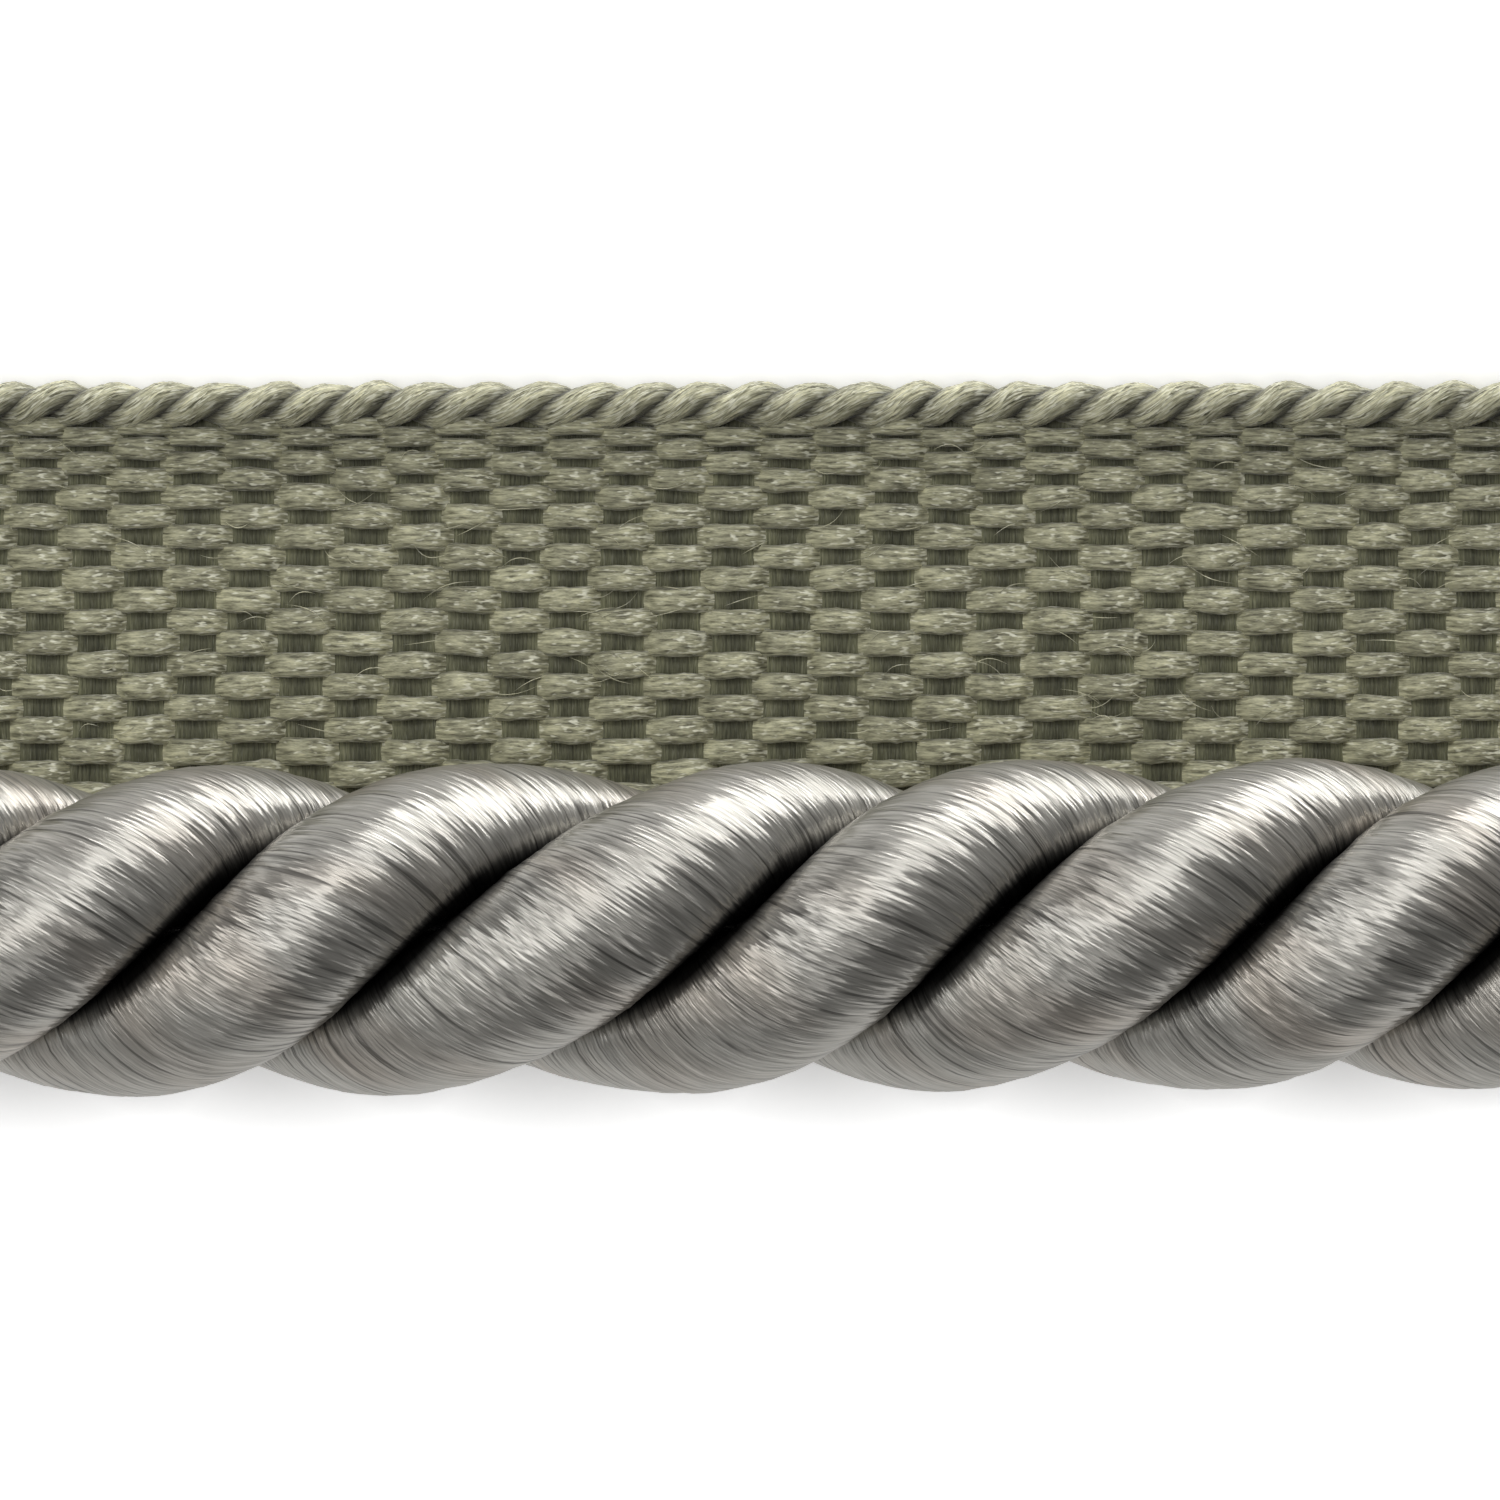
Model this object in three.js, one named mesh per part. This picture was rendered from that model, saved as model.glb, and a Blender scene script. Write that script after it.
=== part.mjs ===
// Twisted cord trim with a woven lip, a cut length lying on its back.
//
// A cord of three lustrous plies is laid on the edge of a narrow woven tape. The tape's free part, the lip,
// is what a maker sews into a seam, and a two-lobed twisted selvedge cord finishes the lip's free edge.
//
// Millimetres. +X runs along the trim, +Y from the cord to the lip's free edge, +Z up from the surface.
// The origin is on the underside of the lip at mid-length, on the line where the cord's side meets the lip.
import * as THREE from "three";

// The cord: its size over the crests, and the length in which a ply goes round once.
const CORD_DIAMETER = 10;
const LAY = 24.5;
const LAYS = 4;
const LENGTH = LAY * LAYS;
const PLIES = 3;

// A ply where nothing presses on it. It is flattened where it meets its neighbours.
const PLY_RADIUS = 2.65;
const PLY_CENTRE = CORD_DIAMETER / 2 - PLY_RADIUS;
const GAP = 0.3;

// The turn at mid-length, and how far the sewing drags the plies along for each millimetre across the cord.
const START_TURN = -0.78;
const SEWN_SKEW = 0.12;

// How a hand-laid cord wanders: each row is a slow wave, a whole number of them along the trim, so that
// lengths set end to end match.
const TURN_WANDER = [
  { size: 0.06, waves: 3, start: -1.9 },
  { size: 0.055, waves: 6, start: -1.05 },
];
const SIDE_WANDER = [{ size: 0.12, waves: 1, start: 0.1 }];

// The woven tape: the free lip, and the part hidden under the cord, which the sewing presses thinner.
const LIP_WIDTH = 9.9;
const LIP_THICKNESS = 1.1;
const HIDDEN_WIDTH = 6.5;
const HIDDEN_THICKNESS = 1.0;
const LIP_START = 0.3;

// The selvedge cord: two lobes, one for each pick of the weave in turn.
const PICKS = 60;
const PICK_PITCH = LENGTH / PICKS;
const SELVEDGE_RADIUS = 0.6;
const SELVEDGE_LOBE = 0.1;

// Where the cord's middle runs.
const CORD_Y = -CORD_DIAMETER / 2;
const CORD_Z = HIDDEN_THICKNESS + GAP + CORD_DIAMETER / 2;
const SELVEDGE_Y = LIP_WIDTH + GAP + SELVEDGE_RADIUS + SELVEDGE_LOBE;

// How finely the curved pieces are stepped.
const PLY_SIDES = 14;
const STEPS_PER_LAY = 20;
const SELVEDGE_SIDES = 8;
const STEPS_PER_PICK = 4;
const HELIX_SAMPLES = 240;
const HALVINGS = 20;
const SKEW_ROUNDS = 5;

const LUSTROUS_SILVER = { color: 0x9a958c, roughness: 0.35, metalness: 0.15 };
const SAGE_GREEN = { color: 0x77765f, roughness: 0.85, metalness: 0 };

// What the waves of a wander add up to at a place along the trim, and the cord's turn there.
function wanderAt(x, rows) {
  const wave = ({ size, waves, start }) => size * Math.sin((2 * Math.PI * waves * x) / LENGTH + start);
  return rows.reduce((sum, row) => sum + wave(row), 0);
}
const turnAt = (x) => START_TURN + (2 * Math.PI * x) / LAY + wanderAt(x, TURN_WANDER);

// A point of a section turned about the cord's middle, in the left-hand sense that the plies are laid in.
function turned(point, angle) {
  const cos = Math.cos(angle);
  const sin = Math.sin(angle);
  return new THREE.Vector2(point.x * cos + point.y * sin, point.y * cos - point.x * sin);
}

// The middle line of a ply, over half a lay each way from the section at x = 0.
function plyMiddle(phase) {
  const points = [];
  for (let i = 0; i <= HELIX_SAMPLES; i += 1) {
    const x = LAY * (i / HELIX_SAMPLES - 0.5);
    const across = turned(new THREE.Vector2(0, PLY_CENTRE), (2 * Math.PI * x) / LAY + phase);
    points.push(new THREE.Vector3(x, across.x, across.y));
  }
  return points;
}

const distanceTo = (line, point) => Math.min(...line.map((q) => q.distanceTo(point)));

// A ply's outline where a plane across the cord cuts it: round outside, flat against its two neighbours.
function plyOutline() {
  const own = plyMiddle(0);
  const neighbours = [1, PLIES - 1].map((n) => plyMiddle((2 * Math.PI * n) / PLIES));
  const outline = [];
  for (let side = 0; side < PLY_SIDES; side += 1) {
    const angle = (2 * Math.PI * side) / PLY_SIDES;
    const reach = (distance) =>
      new THREE.Vector3(0, distance * Math.sin(angle), PLY_CENTRE + distance * Math.cos(angle));
    const inside = (distance) => {
      const point = reach(distance);
      const fromOwn = distanceTo(own, point);
      return fromOwn < PLY_RADIUS && neighbours.every((line) => distanceTo(line, point) - fromOwn > GAP);
    };
    let near = 0;
    let far = 2 * PLY_RADIUS;
    for (let i = 0; i < HALVINGS; i += 1) {
      const middle = (near + far) / 2;
      if (inside(middle)) near = middle;
      else far = middle;
    }
    const { y, z } = reach(near);
    outline.push(new THREE.Vector2(y, z));
  }
  return outline.reverse();
}

// An outline drawn along the trim, each vertex then moved by place(x, point across the trim).
function drawnAlong(outline, steps, place) {
  const geometry = new THREE.ExtrudeGeometry(new THREE.Shape(outline), {
    depth: LENGTH,
    steps,
    bevelEnabled: false,
  });
  const position = geometry.getAttribute("position");
  for (let i = 0; i < position.count; i += 1) {
    const x = position.getZ(i) - LENGTH / 2;
    const across = place(x, new THREE.Vector2(position.getX(i), position.getY(i)));
    position.setXYZ(i, x, across.x, across.y);
  }
  geometry.computeVertexNormals();
  return geometry;
}

// A ply twists with the cord. The skew makes the turn depend on how far across the cord the point ends up.
function plyGeometry(outline, phase) {
  return drawnAlong(outline, STEPS_PER_LAY * LAYS, (x, point) => {
    let across = turned(point, turnAt(x) + phase);
    for (let i = 0; i < SKEW_ROUNDS; i += 1) {
      across = turned(point, turnAt(x + SEWN_SKEW * across.x) + phase);
    }
    return new THREE.Vector2(across.x + wanderAt(x, SIDE_WANDER), across.y);
  });
}

function tapeGeometry() {
  const profile = [
    [-HIDDEN_WIDTH, 0],
    [LIP_WIDTH, 0],
    [LIP_WIDTH, LIP_THICKNESS],
    [LIP_START, LIP_THICKNESS],
    [LIP_START, HIDDEN_THICKNESS],
    [-HIDDEN_WIDTH, HIDDEN_THICKNESS],
  ].map(([y, z]) => new THREE.Vector2(y, z));
  return drawnAlong(profile, 1, (x, point) => point);
}

// Two lobes that turn half a turn for each pick, and lie flat where they touch the surface.
function selvedgeGeometry() {
  const outline = [];
  for (let side = 0; side < SELVEDGE_SIDES; side += 1) {
    const angle = (2 * Math.PI * side) / SELVEDGE_SIDES;
    const radius = SELVEDGE_RADIUS + SELVEDGE_LOBE * Math.cos(2 * angle);
    outline.push(new THREE.Vector2(radius * Math.cos(angle), radius * Math.sin(angle)));
  }
  return drawnAlong(outline, STEPS_PER_PICK * PICKS, (x, point) => {
    const across = turned(point, (Math.PI * x) / PICK_PITCH);
    return new THREE.Vector2(across.x, Math.max(across.y, -SELVEDGE_RADIUS));
  });
}

function piece(name, geometry, finish, y = 0, z = 0) {
  const mesh = new THREE.Mesh(geometry, new THREE.MeshStandardMaterial(finish));
  mesh.name = name;
  mesh.position.set(0, y, z);
  return mesh;
}

const trim = new THREE.Group();
const outline = plyOutline();
for (let n = 0; n < PLIES; n += 1) {
  const geometry = plyGeometry(outline, (2 * Math.PI * n) / PLIES);
  trim.add(piece(`ply_${n + 1}`, geometry, LUSTROUS_SILVER, CORD_Y, CORD_Z));
}
trim.add(piece("lip_tape", tapeGeometry(), SAGE_GREEN));
trim.add(piece("selvedge_cord", selvedgeGeometry(), SAGE_GREEN, SELVEDGE_Y, SELVEDGE_RADIUS));

export default trim;
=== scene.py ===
"""Twisted cord trim: three plies of lustrous floss on a woven tape with a corded selvedge."""

import math

import bpy
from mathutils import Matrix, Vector


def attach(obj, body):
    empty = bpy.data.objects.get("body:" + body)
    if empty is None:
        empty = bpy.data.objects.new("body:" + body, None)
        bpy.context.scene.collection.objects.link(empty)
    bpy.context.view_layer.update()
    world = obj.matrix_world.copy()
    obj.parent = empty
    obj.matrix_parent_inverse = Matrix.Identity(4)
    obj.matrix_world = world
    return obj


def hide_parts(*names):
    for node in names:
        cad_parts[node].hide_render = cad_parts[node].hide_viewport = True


TAU = 2 * math.pi
MM = 0.001

# Sizes are in millimetres and turns in radians, except where a comment says otherwise. +X runs
# along the trim, +Y from the cord to the lip's free edge, and +Z up from the table.

# The cord's build, as the solids have it.
LAY = 24.5
LENGTH = 4 * LAY
PLIES = 3
PLY_RADIUS = 2.65
PLY_CENTRE = 2.35
CORD_Y = -5.0
CORD_Z = 6.3
START_TURN = -0.78
SEWN_SKEW = 0.12
SKEW_ROUNDS = 3

# How a hand-laid cord wanders: slow waves, each a size, a number of waves along the trim, and a
# start.
TURN_WANDER = [(0.06, 3, -1.9), (0.055, 6, -1.05)]
SIDE_WANDER = [(0.12, 1, 0.1)]

# Where a ply is pressed flat by its neighbours: how far in, which way it faces, and how sharp its
# edges are. The least facing keeps the section's formula above nothing on the round side.
FLAT_DISTANCE = 1.84
FLAT_ANGLE = math.radians(135.5)
FLAT_SHARPNESS = 5
LEAST_FACING = 0.05

# The floss goes round a ply in rows side by side, and a row climbs this far along the trim in one
# turn.
FLOSS_CLIMB = 6.05
FLOSS_TURNS = 18.5
FLOSS_ROWS_PER_TURN = 120
FLOSS_AROUND = 36
PLY_SEED_STEP = 11.7

# The relief of the floss. Each layer is a size, a scale along and one round the ply, a shift of
# the seed, and a detail. It is there where a ply faces out, by the cosine of the way round: a
# start and a spread.
FLOSS_RELIEF = [
    (0.035, 4.2, 0.9, 0.0, 1.5),
    (0.035, 2.2, 1.6, 3.1, 1.0),
    (0.05, 0.7, 0.5, 7.3, 1.0),
]
FLOSS_SHOWN = (-0.75, 0.5)

# Little light comes back out of the grooves between plies, so shade is painted there: it deepens
# on the way round a ply, and more the higher or lower they are than the cord's middle. Where a
# ply faces the others the painted shade is dark at any height. Each is a start and a spread.
GROOVE_SHADE_TURN = (math.radians(63), math.radians(17))
GROOVE_SHADE_HEIGHT = (1.8, 1.3)
LEAST_GROOVE_SHADE = 0.1
INSIDE_SHADE_TURN = (math.radians(80), math.radians(8))

# The woven tape. Rows of warp crowd together near the selvedge.
PICKS = 60
PICK_PITCH = LENGTH / PICKS
TAPE_MIDDLE = 0.55
FIRST_ROW = 10.25
FIRST_PICK = 1.3
PICK_LEAN = 0.3
WARP_PITCH = 0.665
WARP_CROWDING = 0.34
WARP_CROWDED_ROWS = 4
LIP_ROWS = 17
ALL_ROWS = 28

# How finely the yarns are stepped, with a few steps more for their closed ends.
WARP_SIDES = 10
WARP_STEPS = PICKS * 8 + 10
WEFT_STEPS = PICKS * 6 + 4
WEFT_STEPS_PER_ROW = 8
STRAND_SIDES = 12
STRAND_STEPS = PICKS * 12 + 12

# Points that run this far past a cut end are drawn in to close it. RUN_PAST is how many such
# caps longer than the trim a yarn's run is. Points nearer than MERGE_REACH become one.
PLY_CAP = 2.0
YARN_CAP = 0.8
WEFT_CAP = 0.2
RUN_PAST = 2.5
MERGE_REACH = 0.001

# The warp yarns: how sharply they step between over and under, how square their section is, how
# much fuller they are where they crowd, how much wider on a crest, and how uneven, each as a
# share of the size that it changes.
STEP_SHARPNESS = 1.9
YARN_SQUARENESS = 0.6
CROWDED_FULLNESS = 0.8
CREST_SPREAD = 0.04
UNEVEN_WIDTH = 0.25
UNEVEN_HEIGHT = 0.1
UNEVEN_RISE = 0.12
STRAY_WIDTH = 0.14
ROW_SWAY = 0.12

# The warp's pattern: how wide it lies for each radian round a yarn, and how far it moves from row
# to row.
WARP_AROUND = 0.36
ROW_SHIFT = 7.7

# The sheet of picks starts this many rows before the first one and spans so many. Over this
# share of its width each edge thins to nothing.
WEFT_PAST_FIRST = 1.2
WEFT_ROWS = ALL_ROWS + 0.4
WEFT_EDGE = 1 / 40

# How much painted shade the yarns get: at the sides of a warp yarn where it is up, in the crowded
# rows, and in the middle of a pick. The tuples are a start and a spread.
SIDE = (0.3, 0.65)
SIDE_UP = (-0.3, 1.0)
SIDE_DARKNESS = 0.5
CROWD_DARKNESS = 0.22
PICK_MIDDLE = (0.55, 1.0)
PICK_DARKNESS = 1.1

# How far the hidden part rises to the cord: under a crest, more in a groove, and at its edge. The
# grooves are this far from the cord's middle line. The last two are a start and a spread, on the
# way in under the cord.
CREST_LIFT = 0.15
GROOVE_LIFT = 0.65
EDGE_LIFT = 0.16
GROOVE_REACH = 4.2
UNDER_CORD = (0.5, 2.0)
HIDDEN_EDGE = (5.0, 1.5)

# Loose filaments that lie on the tape, as far out as this share of the trim's length. The taper
# is just short of half a turn: a filament thins to almost nothing at its ends, where its points
# are merged.
FILAMENTS = 260
FILAMENT_Z = 1.0
FILAMENT_SIDES = 3
FILAMENT_STEPS = 8
FILAMENT_WAY = 0.6
FILAMENT_LENGTH = (0.7, 2.0)
FILAMENT_BEND = 0.35
FILAMENT_ARCH = (0.05, 0.16)
FILAMENT_REACH = 0.49
FILAMENT_TAPER = 3.1
FILAMENT_AROUND = 0.02

# The selvedge: two strands twisted together, one showing for each pick in turn.
SELVEDGE_Y = 10.9
SELVEDGE_Z = 0.66
STRAND_RADIUS = 0.5
STRAND_CENTRE = 0.22
STRAND_UNEVENNESS = 0.35
STRAND_SWELL = 0.06
STRAND_SWAY = 0.12
YARN_TWIST = 0.7

# Painted shade on the strands: in the crevice between them, and on the side that faces the cord.
CREVICE_STEEPNESS = 1.4
CREVICE_REACH = 0.45
SHADED_REACH = 0.35
SHADED_DARKNESS = 0.4

# The finishes: how far the fibres of the floss lean, for the jagged edges of its gloss, how much
# more painted glint a yarn gets where it turns to the light, what is left of a colour where its
# painted shade is darkest, and the grain of the spun core, for each metre.
FLOSS_LEAN = 1.3
GLEAM = 0.06
GLINT_COLOR = (0.97, 0.96, 0.77, 1)
DARKEST_FLOSS = 0.05
DARKEST_YARN = 0.1
CORE_GRAIN = 3500.0

# The table glows though it is no lamp, with a painted soft shadow round the trim. It lies a hair
# lower, so that no faces meet. Its glow is what it throws at the trim, and what the camera sees.
TABLE_SIZE = 3000
TABLE_DROP = 0.05
THROWN_GLOW = 0.34
SEEN_GLOW = 0.87
SHADOW_WIDTH = 4.5
SHADOW_DEPTH = 2.0
STUDIO_GLOW = 0.07

# Soft lights that face the trim: the azimuth from +X and the elevation over the table in degrees,
# the two sides in metres, and the watts.
LIGHT_DISTANCE = 400
LIGHTS = {
    "key": (68, 5, (0.26, 0.1), 1.1),
    "above": (88, 61, (0.2, 0.12), 0.27),
    "left": (155, 42, (0.17, 0.12), 0.28),
    "top": (180, 72, (0.16, 0.2), 0.3),
    "near": (270, 60, (0.14, 0.14), 0.12),
}

# The picture: the long side of what it shows, and its centre.
PICTURE_WIDTH = 45.3
PICTURE_CENTRE = (0.0, 0.36)
LENS = 400
SENSOR = 36

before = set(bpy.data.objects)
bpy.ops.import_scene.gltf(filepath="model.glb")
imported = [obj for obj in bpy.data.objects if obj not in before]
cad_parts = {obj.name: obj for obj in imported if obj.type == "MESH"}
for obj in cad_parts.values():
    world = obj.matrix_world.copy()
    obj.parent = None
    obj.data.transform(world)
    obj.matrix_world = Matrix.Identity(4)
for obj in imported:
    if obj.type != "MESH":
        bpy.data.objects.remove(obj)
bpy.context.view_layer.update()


class Nodes:
    """A node tree under construction."""

    def __init__(self, tree):
        self.tree = tree

    def put(self, slot, value):
        """Sets a node's input to a plain value, or links it to a field or another node's output."""
        value = getattr(value, "socket", value)
        if isinstance(value, bpy.types.NodeSocket):
            self.tree.links.new(value, slot)
        else:
            slot.default_value = value

    def node(self, kind, settings=(), **values):
        """A node with its settings, and its inputs by name. An underscore stands for a space."""
        node = self.tree.nodes.new(kind)
        for name, value in dict(settings).items():
            setattr(node, name, value)
        for name, value in values.items():
            words = name.replace("_", " ")
            slots = [slot for slot in node.inputs if slot.name == words and slot.enabled]
            self.put(slots[0], value)
        return node

    def result(self, kind, settings, *values):
        """What a node makes of its inputs, which are given in order."""
        node = self.node(kind, settings)
        for slot, value in zip([slot for slot in node.inputs if slot.enabled], values):
            self.put(slot, value)
        return next(slot for slot in node.outputs if slot.enabled)


class Field:
    """A number that varies over a mesh, so that a shape can be written as a formula."""

    def __init__(self, nodes, socket):
        self.nodes = nodes
        self.socket = socket

    def math(self, operation, *values):
        made = self.nodes.result("ShaderNodeMath", {"operation": operation}, self, *values)
        return Field(self.nodes, made)

    def __add__(self, other):
        return self.math("ADD", other)

    def __sub__(self, other):
        return self.math("SUBTRACT", other)

    def __mul__(self, other):
        return self.math("MULTIPLY", other)

    def __truediv__(self, other):
        return self.math("DIVIDE", other)

    def __neg__(self):
        return self * -1.0

    def __abs__(self):
        return self.math("ABSOLUTE")

    def __pow__(self, other):
        return self.math("POWER", other)

    def kept_within(self, low=0.0, high=1.0):
        return self.math("MAXIMUM", low).math("MINIMUM", high)

    def past(self, start, spread, low=0.0):
        """Rises to 1 over a spread from a start. Before it, the low value."""
        return ((self - start) / spread).kept_within(low)


def sin(a):
    return a.math("SINE")


def cos(a):
    return a.math("COSINE")


def tanh(a):
    return a.math("TANH")


def squared(a):
    """Makes a round section a little square."""
    return a.math("SIGN") * abs(a) ** YARN_SQUARENESS


def wander(x, waves):
    """What slow waves add up to at x."""
    total = 0.0
    for size, count, start in waves:
        total = sin(x * (TAU * count / LENGTH) + start) * size + total
    return total


class Maker(Nodes):
    """A Geometry Nodes tree that makes one kind of piece, with its sizes as named inputs."""

    def __init__(self, name, **sizes):
        super().__init__(bpy.data.node_groups.new(name, "GeometryNodeTree"))
        self.identifiers = {}
        interface = self.tree.interface
        for size, value in sizes.items():
            socket = interface.new_socket(size, in_out="INPUT", socket_type="NodeSocketFloat")
            socket.default_value = value
            self.identifiers[size] = socket.identifier
        interface.new_socket("Mesh", in_out="OUTPUT", socket_type="NodeSocketGeometry")
        self.inputs = self.node("NodeGroupInput")

    def size(self, name):
        return Field(self, self.inputs.outputs[name])

    def xyz(self, x, y, z=0.0):
        return self.node("ShaderNodeCombineXYZ", X=x, Y=y, Z=z).outputs[0]

    def noise(self, x, y, z, detail=1.0):
        """Noise between about -1 and 1."""
        place = self.xyz(x, y, z)
        node = self.node("ShaderNodeTexNoise", Vector=place, Scale=1.0, Detail=detail)
        return Field(self, node.outputs[0]) * 2.0 - 1.0

    def random(self, number, seed, low, high):
        """A number of its own for each copy of a grid."""
        settings = {"data_type": "FLOAT"}
        made = self.result("FunctionNodeRandomValue", settings, low, high, number, seed)
        return Field(self, made)

    def grids(self, across, along, copies=1):
        """Flat grids on top of each other.

        Gives them, the share of the way across and along, and the number of each grid.
        """
        counts = {"Vertices_X": across + 1, "Vertices_Y": along + 1}
        grid = self.node("GeometryNodeMeshGrid", Size_X=1, Size_Y=1, **counts).outputs[0]
        line = self.node("GeometryNodeMeshLine", Count=copies, Offset=(0, 0, 0))
        index = self.node("GeometryNodeInputIndex").outputs[0]
        points = self.keep(line.outputs[0], "number", index)
        stack = self.node("GeometryNodeInstanceOnPoints", Points=points, Instance=grid).outputs[0]
        mesh = self.node("GeometryNodeRealizeInstances", Geometry=stack).outputs[0]
        settings = {"data_type": "FLOAT"}
        number = self.node("GeometryNodeInputNamedAttribute", settings, Name="number").outputs[0]
        position = self.node("GeometryNodeInputPosition").outputs[0]
        x, y, _ = self.node("ShaderNodeSeparateXYZ", Vector=position).outputs
        return mesh, Field(self, x) + 0.5, Field(self, y) + 0.5, Field(self, number)

    def keep(self, mesh, name, value, domain="POINT", kind="FLOAT"):
        """Stores a value on the mesh under a name."""
        settings = {"data_type": kind, "domain": domain}
        values = {"Geometry": mesh, "Name": name, "Value": value}
        return self.node("GeometryNodeStoreNamedAttribute", settings, **values).outputs[0]

    def end(self, mesh, uv_name, uv, place, material):
        """The last steps: the UV map, then the points' places in millimetres, and the finish."""
        mesh = self.keep(mesh, uv_name, self.xyz(*uv), "CORNER", "FLOAT2")
        position = self.xyz(*(value * MM for value in place))
        moved = self.node("GeometryNodeSetPosition", Geometry=mesh, Position=position).outputs[0]
        reach = MERGE_REACH * MM
        merged = self.node("GeometryNodeMergeByDistance", Geometry=moved, Distance=reach).outputs[0]
        smooth = self.node("GeometryNodeSetShadeSmooth", Geometry=merged).outputs[0]
        real = self.node("GeometryNodeRealizeInstances", Geometry=smooth).outputs[0]
        done = self.node("GeometryNodeSetMaterial", Geometry=real, Material=material).outputs[0]
        self.put(self.node("NodeGroupOutput").inputs["Mesh"], done)

    def make(self, name, slot, *nodes, **sizes):
        """A piece with these sizes: a plain mesh that stands for CAD nodes. The slot is not used.
        """
        holder = bpy.data.objects.new(name + "_maker", bpy.data.meshes.new(name + "_maker"))
        bpy.context.collection.objects.link(holder)
        modifier = holder.modifiers.new("make", "NODES")
        modifier.node_group = self.tree
        for size, value in sizes.items():
            modifier[self.identifiers[size]] = float(value)
        evaluated = holder.evaluated_get(bpy.context.evaluated_depsgraph_get())
        mesh = bpy.data.meshes.new_from_object(evaluated)
        bpy.data.objects.remove(holder)
        mesh.name = name
        piece = bpy.data.objects.new(name, mesh)
        bpy.context.collection.objects.link(piece)
        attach(piece, "root")
        if nodes:
            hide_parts(*nodes)
        return piece


class Finish(Nodes):
    """A material under construction."""

    def __init__(self, name):
        self.material = bpy.data.materials.new(name)
        self.material.use_nodes = True
        super().__init__(self.material.node_tree)
        self.shader = self.tree.nodes["Principled BSDF"]

    def set(self, **values):
        for name, value in values.items():
            self.put(self.shader.inputs[name.replace("_", " ")], value)

    def uv(self, name):
        return self.node("ShaderNodeUVMap", {"uv_map": name}).outputs[0]

    def kept(self, name):
        """A value that the maker stored on the mesh, or 0 where it stored none."""
        return self.node("ShaderNodeAttribute", {"attribute_name": name}).outputs["Fac"]

    def noise(self, place, scale, detail=2.0, roughness=0.5, shift=0.0):
        """Noise with a scale of its own for each direction."""
        spread = {"Scale": scale, "Location": (shift, shift, shift)}
        place = self.node("ShaderNodeMapping", Vector=place, **spread).outputs[0]
        look = {"Scale": 1.0, "Detail": detail, "Roughness": roughness}
        return self.node("ShaderNodeTexNoise", Vector=place, **look).outputs[0]

    def ramp(self, value, *stops):
        """A colour ramp through stops, each a place and a grey or a colour."""
        node = self.node("ShaderNodeValToRGB", Fac=value)
        for element, (place, color) in zip(node.color_ramp.elements, stops):
            element.position = place
            element.color = (*color, 1) if hasattr(color, "__len__") else (color, color, color, 1)
        return node.outputs[0]

    def mix(self, how, factor, a, b):
        return self.result("ShaderNodeMix", {"data_type": "RGBA", "blend_type": how}, factor, a, b)

    def darken(self, color, darkest):
        """A colour that goes down to this share of itself where the maker stored painted shade."""
        left = self.ramp(self.kept("painted_shade"), (0.0, 1.0), (1.0, darkest))
        return self.mix("MULTIPLY", 1.0, color, left)

    def vector(self, operation, *values):
        return self.result("ShaderNodeVectorMath", {"operation": operation}, *values)

    def bump(self, height, size, normal=None):
        """Relief of a size in millimetres, on top of another relief's normal if one is given."""
        node = self.node("ShaderNodeBump", Height=height, Distance=size * MM)
        if normal:
            self.put(node.inputs["Normal"], normal)
        return node.outputs[0]


def floss_finish():
    """Silver floss: fine parallel filaments with painted shade, a gloss along the ply, and a pale
    core.

    Noise scales are for each millimetre, across the filaments and then along them.
    """
    f = Finish("silver_floss")
    uv = f.uv("floss")
    strands = f.noise(uv, (6.0, 0.16, 1.0), 3.0, 0.65)
    filaments = f.noise(uv, (18.0, 0.4, 1.0), 2.0, 0.6)
    lean = f.noise(uv, (13.0, 0.32, 1.0), 3.0, 0.7, shift=17.0)
    tint = f.noise(uv, (0.5, 0.15, 1.0), 1.0, shift=5.0)
    grey = f.ramp(filaments, (0.3, (0.36, 0.348, 0.315)), (0.7, (0.64, 0.62, 0.57)))
    # Painted shade in thin dark lines between groups of strands.
    lines = f.ramp(f.noise(uv, (10.0, 0.14, 1.0), 2.0, 0.6, shift=11.0), (0.36, 0.45), (0.44, 1.0))
    warm = f.ramp(tint, (0.5, (1.0, 1.0, 1.0)), (0.75, (1.0, 0.94, 0.9)))
    color = f.mix("MULTIPLY", 1.0, f.mix("MULTIPLY", 1.0, grey, lines), warm)
    color = f.darken(color, DARKEST_FLOSS)

    # The spun core, where the maker cut the ply.
    grain = (CORE_GRAIN, CORE_GRAIN, CORE_GRAIN)
    core = f.noise(f.node("ShaderNodeTexCoord").outputs["Object"], grain)
    core_color = f.ramp(core, (0.3, (0.3, 0.28, 0.24)), (0.7, (0.72, 0.69, 0.62)))
    inside = f.ramp(f.kept("cut"), (0.1, 0.0), (0.14, 1.0))
    f.set(Base_Color=f.mix("MIX", inside, color, core_color))

    # The gloss, on fibres that lean this way and that.
    f.set(Metallic=0.75, Roughness=0.35, Anisotropic=0.88)
    settings = {"direction_type": "UV_MAP", "uv_map": "floss"}
    tangent = f.node("ShaderNodeTangent", settings).outputs[0]
    normal = f.bump(strands, 0.05, f.bump(filaments, 0.02))
    along = f.vector("CROSS_PRODUCT", normal, tangent)
    leaned = f.vector("ADD", normal, f.vector("SCALE", along, (Field(f, lean) - 0.5) * FLOSS_LEAN))
    f.set(Normal=f.vector("NORMALIZE", leaned), Tangent=tangent)
    return f.material


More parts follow.
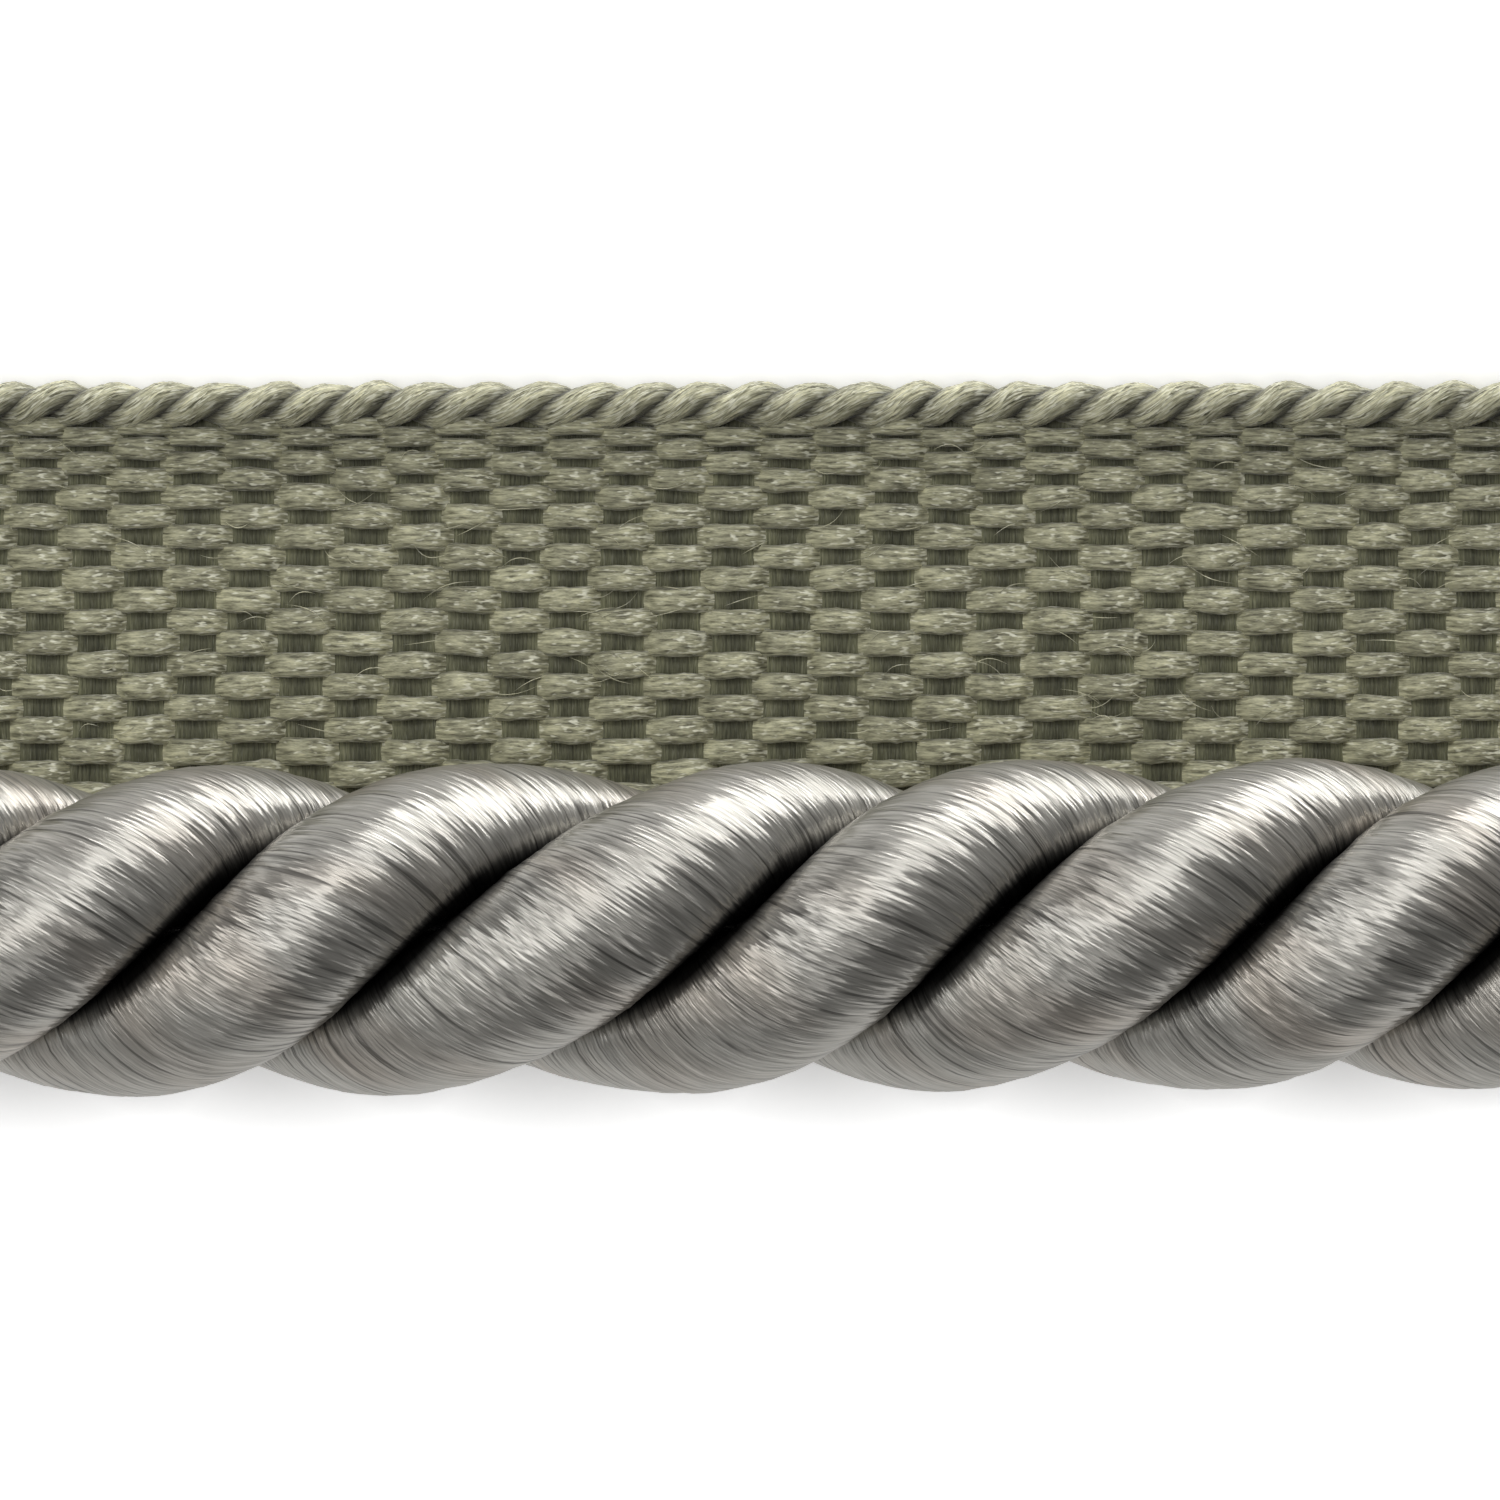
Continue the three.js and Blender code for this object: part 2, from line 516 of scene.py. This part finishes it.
def yarn_finish(name, dark, light, across, along, glints):
    """Yarn of many filaments: matt, with fine lines along it and a share of bright painted glints.

    The lines' scales are for each millimetre, across the yarn and along it.
    """
    f = Finish(name)
    uv = f.uv("yarn")
    fine = f.noise(uv, (across, along, 1.0), 3.0, 0.65)
    patch = f.noise(uv, (0.9, 0.5, 1.0), shift=3.0)
    glint = f.noise(uv, (across * 1.2, along * 2.2, 1.0), 1.0, shift=7.0)
    shade = f.ramp(patch, (0.3, 0.7), (0.7, 1.15))
    color = f.mix("MULTIPLY", 1.0, f.ramp(fine, (0.34, dark), (0.64, light)), shade)
    # Painted glints: bright flecks of caught light, more where the maker stored a painted gleam.
    turned = Field(f, glint) + Field(f, f.kept("gleam")) * GLEAM
    color = f.mix("MIX", f.ramp(turned, (0.57, 0.0), (0.7, glints)), color, GLINT_COLOR)
    f.set(Base_Color=f.darken(color, DARKEST_YARN), Normal=f.bump(fine, 0.07))
    f.set(Roughness=0.55, Specular_IOR_Level=0.5, Sheen_Weight=0.25, Sheen_Roughness=0.4)
    return f.material


def table_finish():
    """A white table that glows: bright with a painted shadow for the camera, dimmer for the trim.
    """
    f = Finish("white_table")
    seen = f.node("ShaderNodeLightPath").outputs["Is Camera Ray"]
    reach = SHADOW_WIDTH * MM
    # The painted shadow: the camera sees less glow where the trim shuts out the sky nearby.
    open_sky = f.node("ShaderNodeAmbientOcclusion", {"samples": 8}, Distance=reach).outputs["AO"]
    glow = Field(f, open_sky) ** SHADOW_DEPTH * SEEN_GLOW
    glow = f.node("ShaderNodeMapRange", Value=seen, To_Min=THROWN_GLOW, To_Max=glow).outputs[0]
    f.set(Base_Color=(0.9, 0.9, 0.9, 1), Roughness=0.9)
    f.set(Emission_Color=(1, 1, 1, 1), Emission_Strength=glow)
    return f.material


def cut_at_ends(x, cap):
    """Where a row of points goes: along the trim as far as the cut end, then in to the middle.

    Gives the place along the trim, and what is left of the section: 1 on the piece, 0 at its
    middle.
    """
    kept = x.kept_within(-LENGTH / 2, LENGTH / 2)
    return kept, (-abs(x - kept) / cap + 1.0).kept_within()


def run_along(share, cap):
    """The run of a yarn from end to end, by the share of the way along it."""
    return cut_at_ends((share - 0.5) * (LENGTH + RUN_PAST * cap), cap)


def ply_maker(material):
    """A ply: rows of floss round a soft core, itself laid round the cord's middle, left-handed."""
    m = Maker("laid_ply", Phase=0.0, Ply_radius=PLY_RADIUS, Ply_centre=PLY_CENTRE, Seed=0.0)
    mesh, u, v, _ = m.grids(FLOSS_AROUND, int(FLOSS_TURNS * FLOSS_ROWS_PER_TURN))
    round_ply = (u - 0.5) * TAU
    row = (v - 0.5) * (FLOSS_TURNS * FLOSS_CLIMB)

    # The section: round outside and flat at the neighbours.
    facing = cos(abs(round_ply) - FLAT_ANGLE).math("MAXIMUM", LEAST_FACING)
    flat = (facing / FLAT_DISTANCE) ** FLAT_SHARPNESS
    radius = (flat + m.size("Ply_radius") ** -FLAT_SHARPNESS) ** (-1 / FLAT_SHARPNESS)

    # Strands stand proud, unevenly, and fade out on the hidden side where a row meets the next.
    relief = 0.0
    for size, along, around, shift, detail in FLOSS_RELIEF:
        layer = m.noise(row * along, round_ply * around, m.size("Seed") + shift, detail)
        relief = layer * size + relief
    radius = radius + relief * cos(round_ply).past(*FLOSS_SHOWN)

    # The section's points, square to the ply's own run.
    rise = LAY / TAU
    slope = math.hypot(rise, PLY_CENTRE)
    ahead = sin(round_ply) * radius * (PLY_CENTRE / slope)
    across = sin(round_ply) * radius * (-rise / slope)
    kept, left = cut_at_ends(row + round_ply * (FLOSS_CLIMB / TAU) + ahead, PLY_CAP)
    across = across * left
    out = cos(round_ply) * radius * left + m.size("Ply_centre")

    # The turn about the cord's middle, where the sewing drags the plies along.
    base = (kept - ahead * left) / rise - kept * (TAU / LAY) + m.size("Phase")
    y = 0.0
    for _ in range(SKEW_ROUNDS):
        dragged = kept + y * SEWN_SKEW
        turn = base + dragged * (TAU / LAY) + wander(dragged, TURN_WANDER) + START_TURN
        y = across * cos(turn) + out * sin(turn)
    z = out * cos(turn) - across * sin(turn)

    mesh = m.keep(mesh, "cut", -left + 1.0)
    # Painted shade in the grooves between plies, and where a ply faces the others.
    groove = abs(round_ply).past(*GROOVE_SHADE_TURN) * abs(z).past(*GROOVE_SHADE_HEIGHT, LEAST_GROOVE_SHADE)
    inside = abs(round_ply).past(*INSIDE_SHADE_TURN)
    mesh = m.keep(mesh, "painted_shade", groove.math("MAXIMUM", inside))
    place = (kept, y + wander(kept, SIDE_WANDER) + CORD_Y, z + CORD_Z)
    m.end(mesh, "floss", (row, round_ply * PLY_RADIUS), place, material)
    return m


def row_place(row):
    """Where a warp row lies across the tape, and how far it is from the next."""
    crowd = tanh(row / WARP_CROWDED_ROWS)
    place = crowd * (WARP_CROWDING * WARP_CROWDED_ROWS) - row * WARP_PITCH + FIRST_ROW
    pitch = (crowd * crowd - 1.0) * WARP_CROWDING + WARP_PITCH
    return place, pitch


def pick_turn(m, x, row):
    """The weave's turn at x, half a turn for each pick. The picks lean a little, unevenly."""
    lean = m.noise(x * 0.15, row * 0.12, 4.0) * PICK_LEAN
    return (x / PICK_PITCH + FIRST_PICK + lean) * math.pi


def hidden_lift(x, y):
    """How far the sewing draws the hidden part of the tape up to the cord."""
    turn = x * (TAU / LAY) + wander(x, TURN_WANDER) + START_TURN
    groove = cos((turn + (y - CORD_Y) / GROOVE_REACH) * float(PLIES)) * 0.5 + 0.5
    under_cord = (-y).past(*UNDER_CORD)
    at_edge = (-y).past(*HIDDEN_EDGE)
    return under_cord * (groove * GROOVE_LIFT + CREST_LIFT) + at_edge * EDGE_LIFT


def warp_maker(material):
    """Warp yarns: each runs over one pick and under the next, its neighbours the other way."""
    sizes = {"Rise": 0.285, "Half_thickness": 0.25, "Fullness": 0.6}
    m = Maker("warp_rows", First_row=0.0, Rows=1.0, **sizes)
    mesh, u, v, number = m.grids(WARP_SIDES, WARP_STEPS, m.size("Rows"))
    row = number + m.size("First_row")
    around = u * TAU - math.pi / 2
    x, left = run_along(v, YARN_CAP)
    y, pitch = row_place(row)
    turn = pick_turn(m, x, row) + row * math.pi
    step = tanh(cos(turn) * STEP_SHARPNESS) / math.tanh(STEP_SHARPNESS)

    # No yarn is even: its size changes along it, it sways, and fibres stray from its sides.
    uneven = m.noise(x * 0.8, row * 5.1, 0.0)
    sway = m.noise(x * 0.5, row * 3.7, 9.0)
    stray = m.noise(x * 3.5, row * 9.1, cos(around) * 2.0)
    fullness = m.size("Fullness") - (pitch - WARP_PITCH) * CROWDED_FULLNESS
    spread = step * CREST_SPREAD + 1.0 + uneven * UNEVEN_WIDTH + stray * STRAY_WIDTH
    width = pitch * fullness * spread * left
    height = m.size("Half_thickness") * left * (uneven * UNEVEN_HEIGHT + 1.0)
    y = y + sway * ROW_SWAY * pitch + squared(cos(around)) * width
    middle = step * m.size("Rise") * (uneven * UNEVEN_RISE + 1.0) + TAPE_MIDDLE
    z = middle + squared(sin(around)) * height + hidden_lift(x, y)

    # Painted shade at the sides of a raised yarn, and over the crowded rows by the selvedge.
    sides = abs(cos(around)).past(*SIDE) * step.past(*SIDE_UP) * SIDE_DARKNESS
    crowded = (-pitch + WARP_PITCH) / WARP_CROWDING * CROWD_DARKNESS
    mesh = m.keep(mesh, "painted_shade", sides + crowded)
    # A painted gleam, for more glints where the yarn slopes down on the side of the key light.
    mesh = m.keep(mesh, "gleam", sin(turn))
    m.end(mesh, "yarn", (around * WARP_AROUND + row * ROW_SHIFT, x), (x, y, z), material)
    return m


def weft_maker(material):
    """The picks as one thin rippled sheet: up where a warp yarn dips under, down elsewhere."""
    m = Maker("weft_sheet", Ripple=0.05, Half_thickness=0.06)
    mesh, u, v, _ = m.grids(ALL_ROWS * WEFT_STEPS_PER_ROW, WEFT_STEPS)

    # Across the tape on its underside and back on top, closed at both edges.
    side = (u - 0.5).math("SIGN")
    out_and_back = -abs(u * 2.0 - 1.0) + 1.0
    edge = out_and_back.past(0.0, WEFT_EDGE) * (-out_and_back + 1.0).past(0.0, WEFT_EDGE)
    row = out_and_back * WEFT_ROWS - WEFT_PAST_FIRST
    x, left = run_along(v, WEFT_CAP)
    y, _ = row_place(row)
    over = cos(pick_turn(m, x, row))
    ripple = over * cos(row * math.pi) * m.size("Ripple")
    z = side * edge * left * m.size("Half_thickness") - ripple + TAPE_MIDDLE + hidden_lift(x, y)
    # Painted shade in the middle of each pick, between the raised warp yarns.
    mesh = m.keep(mesh, "painted_shade", abs(over).past(*PICK_MIDDLE) * PICK_DARKNESS)
    m.end(mesh, "yarn", (x, y), (x, y, z), material)
    return m


def filament_maker(material):
    """Loose filaments on the tape: thin, lightly bent, each lying its own way over the yarns."""
    m = Maker("loose_filaments", Radius=0.018, Spread_y=4.4, Middle_y=5.3)
    mesh, u, v, number = m.grids(FILAMENT_SIDES, FILAMENT_STEPS, FILAMENTS)
    around = u * TAU
    way = m.random(number, 1, -FILAMENT_WAY, FILAMENT_WAY)
    along = (v - 0.5) * m.random(number, 2, *FILAMENT_LENGTH)
    arch = cos((v - 0.5) * math.pi)
    bend = (arch - 0.5) * m.random(number, 3, -FILAMENT_BEND, FILAMENT_BEND)
    middle_x = m.random(number, 4, -FILAMENT_REACH, FILAMENT_REACH) * LENGTH
    middle_y = m.random(number, 5, -1.0, 1.0) * m.size("Spread_y") + m.size("Middle_y")
    x = middle_x + along * cos(way) - bend * sin(way)
    y = middle_y + along * sin(way) + bend * cos(way)
    z = arch * m.random(number, 6, *FILAMENT_ARCH) + FILAMENT_Z
    radius = m.size("Radius") * cos((v - 0.5) * FILAMENT_TAPER)
    place = (x, y + cos(around) * radius, z + sin(around) * radius)
    m.end(mesh, "yarn", (around * FILAMENT_AROUND + number, along), place, material)
    return m


def selvedge_maker(material):
    """Two strands twisted left-handed along the lip's edge, flat where they touch the table."""
    m = Maker("selvedge_strands", Strand_radius=STRAND_RADIUS, Strand_centre=STRAND_CENTRE)
    mesh, u, v, number = m.grids(STRAND_SIDES, STRAND_STEPS, 2)
    around = u * TAU
    x, left = run_along(v, YARN_CAP)
    turn = pick_turn(m, x, 0.0) + number * math.pi
    uneven = m.noise(x * 0.9, number * 4.0, 2.0) * STRAND_UNEVENNESS
    radius = m.size("Strand_radius") * (uneven + cos(turn) * STRAND_SWELL + 1.0) * left
    out = m.size("Strand_centre") * left
    sway = m.noise(x * 0.4, 5.0, 0.0) * STRAND_SWAY
    y = sin(turn) * out + sin(turn + around) * radius + sway + SELVEDGE_Y
    z = cos(turn) * out + cos(turn + around) * radius
    z = z.math("MAXIMUM", -SELVEDGE_Z) + SELVEDGE_Z

    # Painted shade in the crevices, and on the side that faces the cord.
    crevice = (-cos(around) * CREVICE_STEEPNESS + CREVICE_REACH).kept_within()
    shaded = (-sin(turn + around) + SHADED_REACH).kept_within() * SHADED_DARKNESS
    mesh = m.keep(mesh, "painted_shade", (crevice + shaded).kept_within())
    # A painted gleam on the tops of the strands, for more glints there.
    mesh = m.keep(mesh, "gleam", cos(turn + around))
    m.end(mesh, "yarn", ((around + turn * YARN_TWIST) * STRAND_RADIUS, x), (x, y, z), material)
    return m


def make_cord():
    maker = ply_maker(floss_finish())
    for n in range(PLIES):
        sizes = {"Phase": TAU * n / PLIES, "Seed": PLY_SEED_STEP * n}
        maker.make(f"floss_ply_{n + 1}", "lustrous_silver", f"ply_{n + 1}", **sizes)


def make_tape():
    sage = yarn_finish(
        "sage_warp_yarn",
        dark=(0.15, 0.146, 0.085),
        light=(0.74, 0.72, 0.48),
        across=12.0,
        along=1.4,
        glints=0.9,
    )
    olive = yarn_finish(
        "olive_weft_yarn",
        dark=(0.1, 0.103, 0.052),
        light=(0.27, 0.27, 0.155),
        across=16.0,
        along=1.0,
        glints=0.12,
    )
    pale = yarn_finish(
        "pale_selvedge_yarn",
        dark=(0.11, 0.107, 0.052),
        light=(0.95, 0.92, 0.63),
        across=12.0,
        along=1.2,
        glints=0.8,
    )
    picks = weft_maker(olive).make("weft_picks", "sage_weave", "lip_tape")
    warp = warp_maker(sage)
    lip = warp.make("lip_warp", "sage_weave", Rows=LIP_ROWS)
    hidden = warp.make("hidden_warp", "sage_weave", First_row=LIP_ROWS, Rows=ALL_ROWS - LIP_ROWS)
    selvedge = selvedge_maker(pale).make("selvedge_strands", "sage_cord", "selvedge_cord")
    filaments = filament_maker(pale).make("loose_filaments", "sage_weave")


def make_floor():
    size, drop = TABLE_SIZE * MM, TABLE_DROP * MM
    bpy.ops.mesh.primitive_plane_add(size=size, location=(0, 0, -drop))
    floor = bpy.context.object
    floor.name = "white_table"
    floor.data.materials.append(table_finish())


def soft_light(name, azimuth, elevation, size, watts):
    a, e = math.radians(azimuth), math.radians(elevation)
    way = Vector((math.cos(a) * math.cos(e), math.sin(a) * math.cos(e), math.sin(e)))
    data = bpy.data.lights.new(name, "AREA")
    data.shape = "RECTANGLE"
    data.size, data.size_y = size
    data.energy = watts
    light = bpy.data.objects.new(name, data)
    light.location = way * (LIGHT_DISTANCE * MM)
    light.rotation_euler = way.to_track_quat("Z", "Y").to_euler()
    light.visible_camera = False
    bpy.context.collection.objects.link(light)


def make_camera():
    """A camera straight above, whose picture has its width at the height of the cord's middle."""
    data = bpy.data.cameras.new("camera")
    data.lens = LENS
    data.sensor_width = SENSOR
    camera = bpy.data.objects.new("camera", data)
    height = CORD_Z * MM + PICTURE_WIDTH * MM * LENS / SENSOR
    camera.location = (PICTURE_CENTRE[0] * MM, PICTURE_CENTRE[1] * MM, height)
    bpy.context.collection.objects.link(camera)
    bpy.context.scene.camera = camera


def make_world():
    """A studio that is dim for the trim and white where the camera sees past the table."""
    world = bpy.data.worlds.new("studio")
    world.use_nodes = True
    nodes = Nodes(world.node_tree)
    seen = nodes.node("ShaderNodeLightPath").outputs["Is Camera Ray"]
    glow = nodes.node("ShaderNodeMapRange", Value=seen, To_Min=STUDIO_GLOW, To_Max=1.0).outputs[0]
    background = world.node_tree.nodes["Background"]
    nodes.put(background.inputs["Color"], (1, 1, 1, 1))
    nodes.put(background.inputs["Strength"], glow)
    bpy.context.scene.world = world
    bpy.context.scene.view_settings.view_transform = "Standard"


make_camera()
make_cord()
make_tape()
make_world()
make_floor()
for light_name, light in LIGHTS.items():
    soft_light(light_name, *light)
